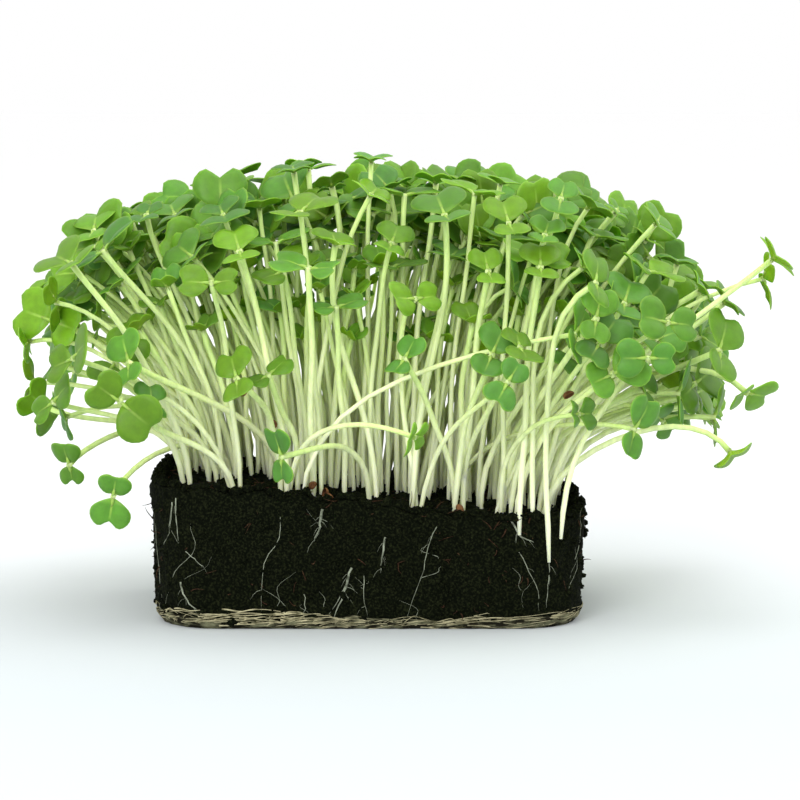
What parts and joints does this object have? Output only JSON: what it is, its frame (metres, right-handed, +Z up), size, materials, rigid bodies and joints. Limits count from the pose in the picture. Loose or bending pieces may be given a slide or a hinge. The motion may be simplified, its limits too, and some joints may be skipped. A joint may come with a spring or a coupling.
{
  "type": "microgreens on a compost block",
  "caption": "Dense stand of pale-stemmed seedlings with notched green seed leaves, rooted in a rectangular dark compost block with a pale root mat under it.",
  "frame": {"origin": "middle of the flat underside of the root mat, on the surface that the block rests on", "axes": "+X along the block's long side to the right as seen from the front, +Y to the back, +Z up"},
  "size_m": [0.2014, 0.13, 0.1198],
  "materials": {
    "compost": "damp near-black peat compost, crumbly, matt",
    "roots": "matted fine cream-coloured roots, matt",
    "seedling": "fresh seed leaves with a soft waxy sheen on pale green-white stems"
  },
  "bodies": {
    "root": {"soil_block": "compost", "root_mat": "roots", "seedling_bunch_01": "seedling", "seedling_bunch_02": "seedling", "seedling_bunch_03": "seedling", "seedling_bunch_04": "seedling", "seedling_bunch_05": "seedling", "seedling_bunch_06": "seedling", "seedling_bunch_07": "seedling", "seedling_bunch_08": "seedling", "seedling_bunch_09": "seedling", "seedling_bunch_10": "seedling", "seedling_bunch_11": "seedling", "seedling_bunch_12": "seedling", "seedling_bunch_13": "seedling", "seedling_bunch_14": "seedling", "seedling_bunch_15": "seedling", "seedling_bunch_16": "seedling", "seedling_bunch_17": "seedling", "seedling_bunch_18": "seedling", "seedling_bunch_19": "seedling", "seedling_bunch_20": "seedling", "seedling_bunch_21": "seedling", "seedling_bunch_22": "seedling", "seedling_bunch_23": "seedling", "seedling_bunch_24": "seedling", "seedling_bunch_25": "seedling", "seedling_bunch_26": "seedling", "seedling_bunch_27": "seedling", "seedling_bunch_28": "seedling", "seedling_bunch_29": "seedling", "seedling_bunch_30": "seedling", "seedling_bunch_31": "seedling", "seedling_bunch_32": "seedling", "seedling_bunch_33": "seedling", "seedling_bunch_34": "seedling", "seedling_bunch_35": "seedling", "seedling_bunch_36": "seedling"}
  },
  "joints": []
}
